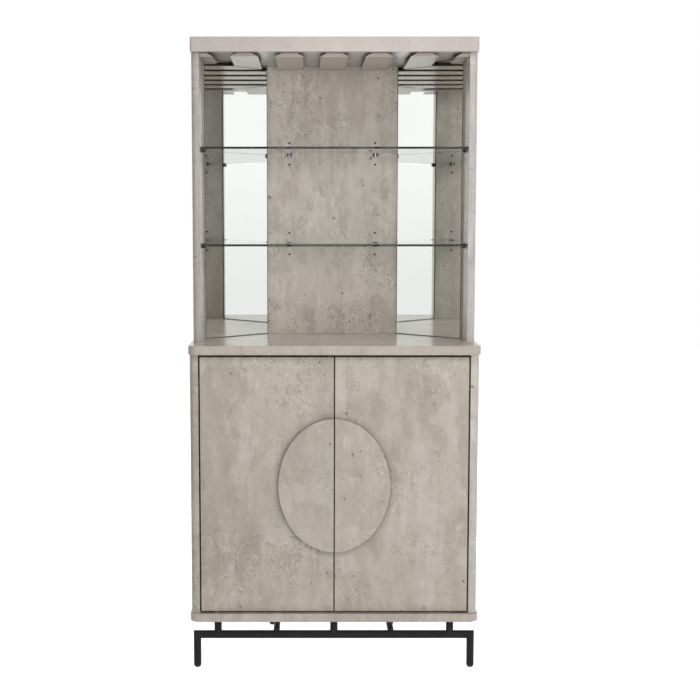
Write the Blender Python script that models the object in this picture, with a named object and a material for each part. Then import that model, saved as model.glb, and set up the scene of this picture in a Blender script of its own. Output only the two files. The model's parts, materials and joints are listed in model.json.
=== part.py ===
"""Corner bar cabinet: a two-door base on a tube frame under an open mirrored hutch, in metres, +Z up."""

import math
from collections import namedtuple

import bmesh
import bpy
from mathutils import Matrix, Vector

# Plan. The front faces -Y, and the two back diagonals stand at 45 degrees, to fit a room's corner.
WIDTH = 0.800
SIDE_DEPTH = 0.196
BACK_WIDTH = 0.405
PLAN_RADIUS = 0.025

# Heights, stacked from the floor
LEG_HEIGHT = 0.104
SPACER_HEIGHT = 0.031
BASE_PANEL_THICK = 0.023
DOOR_OPENING = 0.7205
BAR_TOP_THICK = 0.0255
HUTCH_OPENING = 0.795
TOP_SLAB_THICK = 0.040

# Fits between pieces
GAP = 0.0003
OVERRUN = 0.002
WELD = 0.000001

# Upright panels and their backs
BASE_SIDE_INSET = 0.0045
BASE_SIDE_THICK = 0.0235
HUTCH_SIDE_INSET = 0.0085
HUTCH_SIDE_THICK = 0.022
SIDE_OUTER_RADIUS = 0.012
SIDE_INNER_RADIUS = 0.001
BASE_SETBACK = 0.012
HUTCH_SETBACK = 0.0845
SLAB_SETBACK = 0.0695
SLAB_SIDE_INSET = 0.007
BACK_INSET = 0.002
BACK_THICK = 0.012
MIRROR_THICK = 0.004
MIRROR_SIDE_GAP = 0.0005
PANEL_EDGE_RADIUS = 0.003

# Doors and their half ovals
DOOR_THICK = 0.018
DOOR_SIDE_GAP = 0.004
DOOR_CENTRE_GAP = 0.003
DOOR_TOP_GAP = 0.0055
DOOR_BOTTOM_GAP = 0.0045
DOOR_EDGE_RADIUS = 0.001
OVAL_WIDTH = 0.308
OVAL_HEIGHT = 0.372
OVAL_THICK = 0.011
OVAL_EDGE_RADIUS = 0.0012

# Pivot hinges: a pin on a plate turns in a bush that is let into the door's end
HINGE_INSET = 0.007
PIVOT_PIN_RADIUS = 0.003
PIVOT_PIN_LENGTH = 0.012
PIVOT_PLATE_THICK = 0.0015
PIVOT_PLATE_LENGTH = 0.036
PIVOT_PLATE_WIDTH = 0.011
PIVOT_PLATE_REACH = 0.007
PIVOT_PLATE_RADIUS = 0.002
PIVOT_SCREW_RADIUS = 0.0018
PIVOT_SCREW_PLACES = (0.010, 0.022)
RUNNING_GAP = 0.00025
BUSH_RADIUS = 0.0045
BUSH_FLANGE_RADIUS = 0.0055
BUSH_FLANGE_THICK = 0.0011
BUSH_LENGTH = 0.014

# Magnetic catch and its strikes
CATCH_LENGTH = 0.050
CATCH_DEPTH = 0.018
CATCH_HEIGHT = 0.013
CATCH_EAR_LENGTH = 0.072
CATCH_EAR_DEPTH = 0.010
CATCH_EAR_THICK = 0.0025
CATCH_EDGE_RADIUS = 0.001
CATCH_SCREW_RADIUS = 0.002
CATCH_SCREW_INSET = 0.0055
STRIKE_WIDTH = 0.020
STRIKE_HEIGHT = 0.016
STRIKE_THICK = 0.0012
STRIKE_RADIUS = 0.003
STRIKE_EDGE_INSET = 0.003
STRIKE_TOP_INSET = 0.001

# Shelf supports on a 32 mm grid
HOLE_PITCH = 0.032
PIN_RADIUS = 0.0025
PIN_DEPTH = 0.008
HOLE_DEPTH = 0.009
PEG_HEAD_RADIUS = 0.004
PEG_HEAD_LENGTH = 0.009
PEG_HEAD_CHAMFER = 0.001
CENTRE_HOLE_INSET = 0.0685
HUTCH_HOLE_INSET = 0.062
BASE_HOLE_INSET = 0.078
CLIP_WIDTH = 0.015
CLIP_HEIGHT = 0.015
CLIP_REACH = 0.011
CLIP_WEB = 0.0025
CLIP_EDGE_RADIUS = 0.0008

# Shelves
GLASS_THICK = 0.006
GLASS_EDGE_RADIUS = 0.0008
GLASS_LEVELS = (0.268, 0.535)
GLASS_FRONT_INSET = 0.001
INNER_SHELF_THICK = 0.018
INNER_SHELF_LEVEL = 0.340
INNER_SHELF_FRONT_INSET = 0.033
INNER_SHELF_CLEARANCE = 0.0015

# Stem rails under the top slab, undercut so that a glass's foot hangs between two of them
RAIL_BAYS = 6
RAIL_FOOT_WIDTH = 0.078
RAIL_NECK_WIDTH = 0.040
RAIL_THICK = 0.011
RAIL_FRONT_INSET = 0.001
RAIL_END_GAP = 0.003
RAIL_EDGE_RADIUS = 0.001

# Tube frame
TUBE_RADIUS = 0.0095
TUBE_WALL = 0.0015
LEG_INSET = 0.019
FRONT_RAIL_SETBACK = 0.025
REAR_LEG_INSET = 0.020
REAR_RAIL_INSET = 0.0105
LINK_RADIUS = 0.008
LINK_INSET = 0.042
SPACER_RADIUS = 0.009
FRONT_SPACER_INSET = 0.058
REAR_SPACER_INSET = 0.050
CAP_LIP = 0.006
CAP_LIP_FLAT = 0.001
CAP_FOOT_RADIUS = 0.005
CAP_PLUG_LENGTH = 0.016
CAP_PLUG_CHAMFER = 0.001

# Numbers of facets
ROUND_SIDES = 24
SMALL_SIDES = 12
ARC_STEPS = 6
DOME_STEPS = 4
OVAL_STEPS = 36
SHARP_ANGLE = math.radians(35)
EASE_ANGLE = math.radians(60)

# Plan places worked out from the sizes above. A setback is a distance behind the front plane, and a sum is
# X plus setback, which is the same all along a line at 45 degrees.
DIAGONAL = math.sqrt(2)
HALF = WIDTH / 2
DEPTH = SIDE_DEPTH + (WIDTH - BACK_WIDTH) / 2
FRONT = -DEPTH / 2
BOARD_BACK_SUM = HALF + SIDE_DEPTH - BACK_INSET * DIAGONAL
BOARD_FRONT_SUM = BOARD_BACK_SUM - BACK_THICK * DIAGONAL
MIRROR_BACK_SUM = BOARD_FRONT_SUM - GAP * DIAGONAL
MIRROR_FRONT_SUM = MIRROR_BACK_SUM - MIRROR_THICK * DIAGONAL
CENTRE_BACK = DEPTH - BACK_INSET
CENTRE_FRONT = CENTRE_BACK - BACK_THICK
MITRE_INNER = BOARD_FRONT_SUM - CENTRE_FRONT
MITRE_OUTER = BOARD_BACK_SUM - CENTRE_BACK
CENTRE_HOLE_X = MITRE_INNER - CENTRE_HOLE_INSET


Case = namedtuple("Case", "outer inner end board_start")


def case_plan(inset, thickness):
    """Where the sides of one case stand: outer and inner face, back edge, and the start of the diagonal back."""
    outer = HALF - inset
    start = BOARD_BACK_SUM - outer
    return Case(outer, outer - thickness, start - GAP, start)


BASE = case_plan(BASE_SIDE_INSET, BASE_SIDE_THICK)
HUTCH = case_plan(HUTCH_SIDE_INSET, HUTCH_SIDE_THICK)

# Levels worked out from the stack
PANEL_LOW = LEG_HEIGHT + SPACER_HEIGHT
PANEL_HIGH = PANEL_LOW + BASE_PANEL_THICK
BAR_LOW = PANEL_HIGH + DOOR_OPENING
BAR_HIGH = BAR_LOW + BAR_TOP_THICK
SLAB_LOW = BAR_HIGH + HUTCH_OPENING
SLAB_HIGH = SLAB_LOW + TOP_SLAB_THICK

# Door places
DOOR_OUTER = BASE.inner - DOOR_SIDE_GAP
DOOR_INNER = DOOR_CENTRE_GAP / 2
DOOR_LOW = PANEL_HIGH + DOOR_BOTTOM_GAP
DOOR_HIGH = BAR_LOW - DOOR_TOP_GAP
DOOR_BACK = BASE_SETBACK + DOOR_THICK
HINGE_X = DOOR_OUTER - HINGE_INSET
HINGE_SETBACK = BASE_SETBACK + HINGE_INSET
GLASS_CLEARANCE = GAP + CLIP_WEB + GAP
HANDS = (("left", -1), ("right", 1))


def clear_scene():
    for obj in list(bpy.data.objects):
        bpy.data.objects.remove(obj)


def finish(name, colour, roughness, metallic=0.0, transmission=0.0):
    """A Principled material by name, made once."""
    made = bpy.data.materials.get(name)
    if made:
        return made
    made = bpy.data.materials.new(name)
    made.use_nodes = True
    shader = made.node_tree.nodes["Principled BSDF"]
    shader.inputs["Base Color"].default_value = (*colour, 1.0)
    shader.inputs["Roughness"].default_value = roughness
    shader.inputs["Metallic"].default_value = metallic
    shader.inputs["Transmission Weight"].default_value = transmission
    return made


def concrete_laminate():
    return finish("concrete_laminate", (0.45, 0.41, 0.36), 0.45)


def plain_board():
    return finish("plain_board", (0.40, 0.36, 0.31), 0.6)


def black_steel():
    return finish("black_steel", (0.02, 0.02, 0.02), 0.45, 0.5)


def bright_steel():
    return finish("bright_steel", (0.62, 0.62, 0.61), 0.25, 1.0)


def black_nylon():
    return finish("black_nylon", (0.03, 0.03, 0.03), 0.6)


def clear_glass():
    return finish("clear_glass", (0.84, 0.94, 0.90), 0.02, 0.0, 1.0)


def silvered_glass():
    return finish("silvered_glass", (0.88, 0.91, 0.90), 0.02, 1.0)


def add(name, bm, material, at=(0, 0, 0), parent=None, rounded=False):
    """Links a bmesh as an object of this name, at its place."""
    mesh = bpy.data.meshes.new(name)
    bm.to_mesh(mesh)
    bm.free()
    if rounded:
        mesh.shade_smooth()
        mesh.set_sharp_from_angle(angle=SHARP_ANGLE)
    if material:
        mesh.materials.append(material)
    obj = bpy.data.objects.new(name, mesh)
    bpy.context.scene.collection.objects.link(obj)
    obj.location = at
    obj.parent = parent
    return obj


def add_pivot(name, at):
    """An empty on a joint's axis."""
    pivot = bpy.data.objects.new(name, None)
    bpy.context.scene.collection.objects.link(pivot)
    pivot.location = at
    return pivot


def combine(obj, bm, operation):
    """Joins a hidden shape to an object, or cuts it away, in the object's own frame."""
    helper = add(f"{obj.name}_{operation.lower()}_shape", bm, None, parent=obj)
    helper.hide_render = True
    helper.display_type = "WIRE"
    boolean = obj.modifiers.new(operation.lower(), "BOOLEAN")
    boolean.operation = operation
    boolean.solver = "EXACT"
    boolean.object = helper


def ease(obj, radius, segments):
    """Rounds the square edges of an object, and leaves its shallow ones."""
    bevel = obj.modifiers.new("eased_edges", "BEVEL")
    bevel.width = radius
    bevel.segments = segments
    bevel.limit_method = "ANGLE"
    bevel.angle_limit = EASE_ANGLE


def merged(shapes):
    """Several bmeshes as one."""
    whole = bmesh.new()
    for bm in shapes:
        mesh = bpy.data.meshes.new("shape")
        bm.to_mesh(mesh)
        bm.free()
        whole.from_mesh(mesh)
        bpy.data.meshes.remove(mesh)
    return whole


def rounded_outline(corners):
    """The points of a closed outline whose corners are (x, y, radius)."""
    points = []
    for index, (x, y, radius) in enumerate(corners):
        corner = Vector((x, y))
        if not radius:
            points.append(corner)
            continue
        before = (Vector(corners[index - 1][:2]) - corner).normalized()
        after = (Vector(corners[(index + 1) % len(corners)][:2]) - corner).normalized()
        half_angle = before.angle(after) / 2
        centre = corner + (before + after).normalized() * (radius / math.sin(half_angle))
        start = corner + before * (radius / math.tan(half_angle)) - centre
        sweep = math.copysign(math.pi - 2 * half_angle, -before.cross(after))
        for step in range(ARC_STEPS + 1):
            points.append(centre + Matrix.Rotation(sweep * step / ARC_STEPS, 2) @ start)
    return points


def prism(outline, low, high):
    """An outline in X and Y raised from one level to another."""
    bm = bmesh.new()
    face = bm.faces.new([bm.verts.new((x, y, low)) for x, y in outline])
    raised = bmesh.ops.extrude_face_region(bm, geom=[face])["geom"]
    moved = [item for item in raised if isinstance(item, bmesh.types.BMVert)]
    bmesh.ops.translate(bm, verts=moved, vec=(0, 0, high - low))
    bmesh.ops.recalc_face_normals(bm, faces=bm.faces)
    return bm


def rectangle(left, right, near, far, radius=0):
    return [(left, near, radius), (right, near, radius), (right, far, radius), (left, far, radius)]


def turned(profile, sides):
    """A solid turned about Z from (radius, height) points, which start and end on the axis or close on themselves."""
    bm = bmesh.new()
    line = [bm.verts.new((radius, 0, height)) for radius, height in profile]
    edges = [bm.edges.new(pair) for pair in zip(line, line[1:])]
    if profile[0][0] > 0:
        edges.append(bm.edges.new((line[-1], line[0])))
    bmesh.ops.spin(
        bm, geom=line + edges, cent=(0, 0, 0), axis=(0, 0, 1), angle=math.tau, steps=sides, use_merge=True
    )
    bmesh.ops.remove_doubles(bm, verts=bm.verts, dist=WELD)
    bmesh.ops.recalc_face_normals(bm, faces=bm.faces)
    return bm


def rod(radius, low, high, sides=ROUND_SIDES):
    return turned([(0, low), (radius, low), (radius, high), (0, high)], sides)


def placed(bm, origin, direction=(0, 0, 1)):
    """Turns a bmesh's Z to a direction and moves it to an origin."""
    turn = Vector(direction).to_track_quat("Z", "Y").to_matrix().to_4x4()
    bm.transform(Matrix.Translation(origin) @ turn)
    return bm


def mitred_tube(path, radius, normal):
    """A round bar along a flat path, with a mitre at each corner. The normal is the path's own plane's."""
    bm = bmesh.new()
    across = Vector(normal)
    points = [Vector(point) for point in path]
    runs = [(end - start).normalized() for start, end in zip(points, points[1:])]
    rings = []
    for index, point in enumerate(points):
        run = runs[max(index - 1, 0)]
        plane = (run + runs[min(index, len(runs) - 1)]).normalized()
        up = run.cross(across)
        ring = []
        for side in range(ROUND_SIDES):
            turn = math.tau * side / ROUND_SIDES
            arm = (across * math.cos(turn) + up * math.sin(turn)) * radius
            ring.append(bm.verts.new(point + arm - run * (arm.dot(plane) / run.dot(plane))))
        rings.append(ring)
    for first, second in zip(rings, rings[1:]):
        for side in range(ROUND_SIDES):
            following = (side + 1) % ROUND_SIDES
            bm.faces.new((first[side], first[following], second[following], second[side]))
    bm.faces.new(rings[0])
    bm.faces.new(rings[-1])
    bmesh.ops.recalc_face_normals(bm, faces=bm.faces)
    return bm


def slab_outline(setback, side_inset):
    """Plan of a horizontal panel: rounded front corners, short straight sides and 45 degree backs."""
    side = HALF - side_inset
    right = [
        (side, FRONT + setback, PLAN_RADIUS),
        (side, FRONT + SIDE_DEPTH + side_inset, 0),
        (BACK_WIDTH / 2, FRONT + DEPTH, 0),
    ]
    return rounded_outline(right + [(-x, y, radius) for x, y, radius in reversed(right)])


def add_slab(name, low, thickness, setback=0, side_inset=0):
    body = prism(slab_outline(setback, side_inset), 0, thickness)
    slab = add(name, body, concrete_laminate(), (0, 0, low), rounded=True)
    ease(slab, PANEL_EDGE_RADIUS, 3)
    return slab


def bay_outline(front, half_width, back_sum, back):
    """Plan of a shelf between the sides and the three backs, from setbacks."""
    right = [(half_width, front), (half_width, back_sum - half_width), (back_sum - back, back)]
    both = right + [(-x, setback) for x, setback in reversed(right)]
    return [(x, FRONT + setback) for x, setback in both]


def hole_row(place, normal, level):
    """Three support holes in a wall, one pitch apart, as one cutter."""
    x, y = place
    rows = []
    for step in (-1, 0, 1):
        hole = rod(PIN_RADIUS + GAP, -HOLE_DEPTH, OVERRUN, SMALL_SIDES)
        rows.append(placed(hole, (x, y, level + step * HOLE_PITCH), normal))
    return merged(rows)


def glass_middles():
    """The levels of the middle of each glass shelf."""
    return [BAR_HIGH + level + GLASS_THICK / 2 for level in GLASS_LEVELS]


def peg_level():
    return PANEL_HIGH + INNER_SHELF_LEVEL - GAP - PEG_HEAD_RADIUS


def add_side(name, hand, case, setback, low, high, hole_inset, levels):
    """An upright side panel, rounded at its front, with support holes in its inner face."""
    front = FRONT + setback
    end = FRONT + case.end
    corners = [
        (hand * case.inner, front, SIDE_INNER_RADIUS),
        (hand * case.outer, front, SIDE_OUTER_RADIUS),
        (hand * case.outer, end, 0),
        (hand * case.inner, end, 0),
    ]
    body = prism(rounded_outline(corners), 0, high - low - 2 * GAP)
    side = add(name, body, concrete_laminate(), (0, 0, low + GAP), rounded=True)
    place = (hand * case.inner, front + hole_inset)
    rows = [hole_row(place, (-hand, 0, 0), level - low - GAP) for level in levels]
    combine(side, merged(rows), "DIFFERENCE")
    return side


def add_centre_back(name, low, high, levels):
    """The middle back, mitred to the diagonal backs, with two columns of support holes."""
    inner = MITRE_INNER - GAP
    outer = MITRE_OUTER - GAP
    outline = [
        (-inner, FRONT + CENTRE_FRONT),
        (inner, FRONT + CENTRE_FRONT),
        (outer, FRONT + CENTRE_BACK),
        (-outer, FRONT + CENTRE_BACK),
    ]
    body = prism(outline, 0, high - low - 2 * GAP)
    back = add(name, body, concrete_laminate(), (0, 0, low + GAP))
    rows = []
    for _, hand in HANDS:
        place = (hand * CENTRE_HOLE_X, FRONT + CENTRE_FRONT)
        rows += [hole_row(place, (0, -1, 0), level - low - GAP) for level in levels]
    combine(back, merged(rows), "DIFFERENCE")
    return back


def add_diagonal_back(name, hand, case, low, high):
    """A 45 degree back, square to the side's back edge at one end and mitred to the middle back at the other."""
    outline = [
        (BOARD_FRONT_SUM - case.board_start, case.board_start),
        (case.outer, case.board_start),
        (MITRE_OUTER, CENTRE_BACK),
        (MITRE_INNER, CENTRE_FRONT),
    ]
    body = prism([(hand * x, FRONT + setback) for x, setback in outline], 0, high - low - 2 * GAP)
    return add(name, body, plain_board(), (0, 0, low + GAP))


def add_mirror(name, hand):
    """A square-cut mirror glued to the face of its diagonal back."""
    step = MIRROR_THICK / DIAGONAL
    outer = HUTCH.inner - MIRROR_SIDE_GAP
    inner_setback = CENTRE_FRONT - GAP
    inner = MIRROR_BACK_SUM - inner_setback
    outline = [
        (outer - step, MIRROR_BACK_SUM - outer - step),
        (outer, MIRROR_BACK_SUM - outer),
        (inner, inner_setback),
        (inner - step, inner_setback - step),
    ]
    body = prism([(hand * x, FRONT + setback) for x, setback in outline], 0, HUTCH_OPENING - 2 * GAP)
    return add(name, body, silvered_glass(), (0, 0, BAR_HIGH + GAP))


def add_leg_frame(name, half_width, y, spacer_places):
    """A rail mitred down into two legs, bored for the foot caps, with upright spacers welded on the rail."""
    level = LEG_HEIGHT - TUBE_RADIUS
    leg_end = CAP_LIP + GAP
    path = [(-half_width, 0, leg_end), (-half_width, 0, level), (half_width, 0, level), (half_width, 0, leg_end)]
    frame = add(name, mitred_tube(path, TUBE_RADIUS, (0, 1, 0)), black_steel(), (0, y, 0), rounded=True)
    spacers = [placed(rod(SPACER_RADIUS, level, PANEL_LOW - GAP), (x, 0, 0)) for x in spacer_places]
    combine(frame, merged(spacers), "UNION")
    depth = CAP_PLUG_LENGTH + 2 * GAP
    bores = [
        placed(rod(TUBE_RADIUS - TUBE_WALL, leg_end - OVERRUN, leg_end + depth), (hand * half_width, 0, 0))
        for _, hand in HANDS
    ]
    combine(frame, merged(bores), "DIFFERENCE")
    return frame


def add_link_rail(name, x, front_y, rear_y):
    """A rail from the front frame to the rear one, its ends coped round their tubes."""
    level = LEG_HEIGHT - TUBE_RADIUS
    length = rear_y - front_y
    body = placed(rod(LINK_RADIUS, 0, length), (0, 0, 0), (0, 1, 0))
    rail = add(name, body, black_steel(), (x, front_y, level), rounded=True)
    reach = 2 * TUBE_RADIUS
    copes = [placed(rod(TUBE_RADIUS + GAP, -reach, reach), (0, y, 0), (1, 0, 0)) for y in (0, length)]
    combine(rail, merged(copes), "DIFFERENCE")
    return rail


def add_foot_cap(name, x, y):
    """A domed cap whose plug sits in a leg's bore."""
    rise = CAP_LIP - CAP_LIP_FLAT
    spread = TUBE_RADIUS - CAP_FOOT_RADIUS
    profile = [(0, 0)]
    for step in range(DOME_STEPS + 1):
        turn = math.pi / 2 * step / DOME_STEPS
        profile.append((CAP_FOOT_RADIUS + spread * math.sin(turn), rise * (1 - math.cos(turn))))
    plug = TUBE_RADIUS - TUBE_WALL - GAP
    tip = CAP_LIP + CAP_PLUG_LENGTH
    profile += [
        (TUBE_RADIUS, CAP_LIP),
        (plug, CAP_LIP),
        (plug, tip - CAP_PLUG_CHAMFER),
        (plug - CAP_PLUG_CHAMFER, tip),
        (0, tip),
    ]
    return add(name, turned(profile, ROUND_SIDES), black_nylon(), (x, y, 0), rounded=True)


def add_base_frame():
    front_y = FRONT + FRONT_RAIL_SETBACK
    rear_y = FRONT + DEPTH - REAR_RAIL_INSET
    leg_x = HALF - LEG_INSET
    rear_leg_x = BACK_WIDTH / 2 - REAR_LEG_INSET
    link_x = BACK_WIDTH / 2 - LINK_INSET
    outer_spacer = leg_x - FRONT_SPACER_INSET
    rear_spacer = link_x - REAR_SPACER_INSET
    add_leg_frame("front_leg_frame", leg_x, front_y, (-outer_spacer, 0, outer_spacer))
    add_leg_frame("rear_leg_frame", rear_leg_x, rear_y, (-rear_spacer, rear_spacer))
    for side, hand in HANDS:
        add_link_rail(f"{side}_link_rail", hand * link_x, front_y, rear_y)
        add_foot_cap(f"front_{side}_foot_cap", hand * leg_x, front_y)
        add_foot_cap(f"rear_{side}_foot_cap", hand * rear_leg_x, rear_y)


def add_peg(name, origin, normal):
    """A steel peg: its shank sits in a wall and its head carries the wooden shelf."""
    tip = GAP + PEG_HEAD_LENGTH
    profile = [
        (0, -PIN_DEPTH),
        (PIN_RADIUS, -PIN_DEPTH),
        (PIN_RADIUS, GAP),
        (PEG_HEAD_RADIUS, GAP),
        (PEG_HEAD_RADIUS, tip - PEG_HEAD_CHAMFER),
        (PEG_HEAD_RADIUS - PEG_HEAD_CHAMFER, tip),
        (0, tip),
    ]
    body = placed(turned(profile, SMALL_SIDES), (0, 0, 0), normal)
    return add(name, body, bright_steel(), origin, rounded=True)


def add_inner_shelf():
    clearance = INNER_SHELF_CLEARANCE
    outline = bay_outline(
        BASE_SETBACK + INNER_SHELF_FRONT_INSET,
        BASE.inner - clearance,
        BOARD_FRONT_SUM - clearance * DIAGONAL,
        CENTRE_FRONT - clearance,
    )
    body = prism(outline, 0, INNER_SHELF_THICK)
    shelf = add("inner_shelf", body, concrete_laminate(), (0, 0, PANEL_HIGH + INNER_SHELF_LEVEL))
    ease(shelf, DOOR_EDGE_RADIUS, 1)
    for side, hand in HANDS:
        at_side = (hand * BASE.inner, FRONT + BASE_SETBACK + BASE_HOLE_INSET, peg_level())
        at_back = (hand * CENTRE_HOLE_X, FRONT + CENTRE_FRONT, peg_level())
        add_peg(f"{side}_side_shelf_peg", at_side, (-hand, 0, 0))
        add_peg(f"{side}_back_shelf_peg", at_back, (0, -1, 0))


def add_base_cabinet():
    add_slab("bottom_panel", PANEL_LOW, BASE_PANEL_THICK)
    for side, hand in HANDS:
        name = f"base_{side}_side"
        add_side(name, hand, BASE, BASE_SETBACK, PANEL_HIGH, BAR_LOW, BASE_HOLE_INSET, [peg_level()])
        add_diagonal_back(f"base_{side}_back", hand, BASE, PANEL_HIGH, BAR_LOW)
    add_centre_back("base_centre_back", PANEL_HIGH, BAR_LOW, [peg_level()])
    add_inner_shelf()
    add_slab("bar_top", BAR_LOW, BAR_TOP_THICK)


def add_door(side, hand, pivot):
    """A flat door in its pivot's frame, bored at both ends for the bushes."""
    outer = hand * HINGE_INSET
    inner = hand * (DOOR_INNER - HINGE_X)
    left, right = sorted((outer, inner))
    height = DOOR_HIGH - DOOR_LOW
    outline = rounded_outline(rectangle(left, right, -HINGE_INSET, DOOR_THICK - HINGE_INSET))
    door = add(f"{side}_door", prism(outline, 0, height), concrete_laminate(), parent=pivot)
    ease(door, DOOR_EDGE_RADIUS, 2)
    bore = BUSH_RADIUS + GAP
    depth = BUSH_LENGTH + GAP
    bores = [rod(bore, -OVERRUN, depth), rod(bore, height - depth, height + OVERRUN)]
    combine(door, merged(bores), "DIFFERENCE")
    return door


def add_half_oval(side, hand, pivot):
    """One door's half of the oval, its straight side flush with the door's meeting edge."""
    start = math.acos(DOOR_INNER / (OVAL_WIDTH / 2))
    outline = []
    for step in range(OVAL_STEPS + 1):
        turn = start * (2 * step / OVAL_STEPS - 1)
        outline.append((hand * OVAL_WIDTH / 2 * math.cos(turn), OVAL_HEIGHT / 2 * math.sin(turn)))
    body = prism(outline, 0, OVAL_THICK)
    middle = (DOOR_HIGH - DOOR_LOW) / 2
    stand = Matrix.Translation((-hand * HINGE_X, -HINGE_INSET - GAP, middle)) @ Matrix.Rotation(math.pi / 2, 4, "X")
    body.transform(stand)
    oval = add(f"{side}_door_half_oval", body, concrete_laminate(), parent=pivot, rounded=True)
    ease(oval, OVAL_EDGE_RADIUS, 2)
    return oval


def add_bush(name, pivot, level, direction):
    """A flanged bush in one end of a door. The direction is the one that the door's end faces."""
    bore = PIVOT_PIN_RADIUS + RUNNING_GAP
    profile = [
        (bore, GAP + BUSH_FLANGE_THICK),
        (bore, -BUSH_LENGTH),
        (BUSH_RADIUS, -BUSH_LENGTH),
        (BUSH_RADIUS, GAP),
        (BUSH_FLANGE_RADIUS, GAP),
        (BUSH_FLANGE_RADIUS, GAP + BUSH_FLANGE_THICK),
    ]
    body = placed(turned(profile, ROUND_SIDES), (0, 0, level), (0, 0, direction))
    return add(name, body, black_nylon(), parent=pivot, rounded=True)


def add_pivot_plate(name, hand, panel_face, direction):
    """A plate on a panel's face with the pin that a door turns on. The direction leads from that face to the door."""
    outline = rounded_outline(
        rectangle(
            -PIVOT_PLATE_REACH,
            PIVOT_PLATE_LENGTH - PIVOT_PLATE_REACH,
            -PIVOT_PLATE_WIDTH / 2,
            PIVOT_PLATE_WIDTH / 2,
            PIVOT_PLATE_RADIUS,
        )
    )
    inward = [(-hand * x, y) for x, y in outline]
    low, high = sorted((direction * GAP, direction * (GAP + PIVOT_PLATE_THICK)))
    place = (hand * HINGE_X, FRONT + HINGE_SETBACK, panel_face)
    plate = add(name, prism(inward, low, high), black_steel(), place)
    root = GAP + PIVOT_PLATE_THICK / 2
    tip = GAP + PIVOT_PLATE_THICK + PIVOT_PIN_LENGTH
    combine(plate, placed(rod(PIVOT_PIN_RADIUS, root, tip), (0, 0, 0), (0, 0, direction)), "UNION")
    screws = [
        placed(
            rod(PIVOT_SCREW_RADIUS, -PIVOT_PLATE_THICK, 3 * PIVOT_PLATE_THICK, SMALL_SIDES),
            (-hand * x, 0, 0),
            (0, 0, direction),
        )
        for x in PIVOT_SCREW_PLACES
    ]
    combine(plate, merged(screws), "DIFFERENCE")
    return plate


def add_catch():
    """A double magnetic catch with two ears, screwed under the bar top behind the doors' meeting edges."""
    strike_face = DOOR_BACK + GAP + STRIKE_THICK
    front = FRONT + strike_face + GAP
    half = CATCH_LENGTH / 2
    block = prism(rounded_outline(rectangle(-half, half, 0, CATCH_DEPTH)), -CATCH_HEIGHT, 0)
    catch = add("magnetic_catch", block, black_nylon(), (0, front, BAR_LOW - GAP))
    ease(catch, CATCH_EDGE_RADIUS, 1)
    ear = CATCH_EAR_LENGTH / 2
    near = CATCH_EDGE_RADIUS + CATCH_EAR_THICK
    ears = rounded_outline(rectangle(-ear, ear, near, near + CATCH_EAR_DEPTH, CATCH_EAR_THICK))
    combine(catch, prism(ears, -CATCH_EAR_THICK, 0), "UNION")
    middle = near + CATCH_EAR_DEPTH / 2
    screws = [
        placed(
            rod(CATCH_SCREW_RADIUS, -CATCH_EAR_THICK - OVERRUN, OVERRUN, SMALL_SIDES),
            (hand * (ear - CATCH_SCREW_INSET), middle, 0),
        )
        for _, hand in HANDS
    ]
    combine(catch, merged(screws), "DIFFERENCE")
    return catch


def add_strike(side, hand, pivot):
    """A steel strike on a door's back, where the catch meets it."""
    near = DOOR_INNER + STRIKE_EDGE_INSET - HINGE_X
    left, right = sorted((hand * near, hand * (near + STRIKE_WIDTH)))
    height = DOOR_HIGH - DOOR_LOW - STRIKE_TOP_INSET
    outline = rounded_outline(rectangle(left, right, height - STRIKE_HEIGHT, height, STRIKE_RADIUS))
    body = prism(outline, 0, STRIKE_THICK)
    back = DOOR_THICK - HINGE_INSET + GAP + STRIKE_THICK
    body.transform(Matrix.Translation((0, back, 0)) @ Matrix.Rotation(math.pi / 2, 4, "X"))
    return add(f"{side}_door_strike", body, bright_steel(), parent=pivot)


def add_doors():
    for side, hand in HANDS:
        pivot = add_pivot(f"{side}_door_axis", (hand * HINGE_X, FRONT + HINGE_SETBACK, DOOR_LOW))
        add_door(side, hand, pivot)
        add_half_oval(side, hand, pivot)
        add_strike(side, hand, pivot)
        add_bush(f"{side}_door_lower_bush", pivot, 0, -1)
        add_bush(f"{side}_door_upper_bush", pivot, DOOR_HIGH - DOOR_LOW, 1)
        add_pivot_plate(f"{side}_lower_pivot_plate", hand, PANEL_HIGH, 1)
        add_pivot_plate(f"{side}_upper_pivot_plate", hand, BAR_LOW, -1)
    add_catch()


def add_clip(name, origin, normal):
    """A clip whose jaws hold a glass shelf's edge, on a pin in the wall."""
    outward = Vector(normal)
    up = Vector((0, 0, 1))
    near = GAP
    web = GAP + CLIP_WEB
    tip = GAP + CLIP_REACH
    jaw = GLASS_THICK / 2 + GAP
    half = CLIP_HEIGHT / 2
    outline = [
        (near, -half),
        (tip, -half),
        (tip, -jaw),
        (web, -jaw),
        (web, jaw),
        (tip, jaw),
        (tip, half),
        (near, half),
    ]
    body = prism(outline, -CLIP_WIDTH / 2, CLIP_WIDTH / 2)
    body.transform(Matrix((outward, up, outward.cross(up))).transposed().to_4x4())
    clip = add(name, body, bright_steel(), origin)
    ease(clip, CLIP_EDGE_RADIUS, 2)
    pin = placed(rod(PIN_RADIUS, -PIN_DEPTH, (near + web) / 2, SMALL_SIDES), (0, 0, 0), normal)
    combine(clip, pin, "UNION")
    return clip


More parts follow.
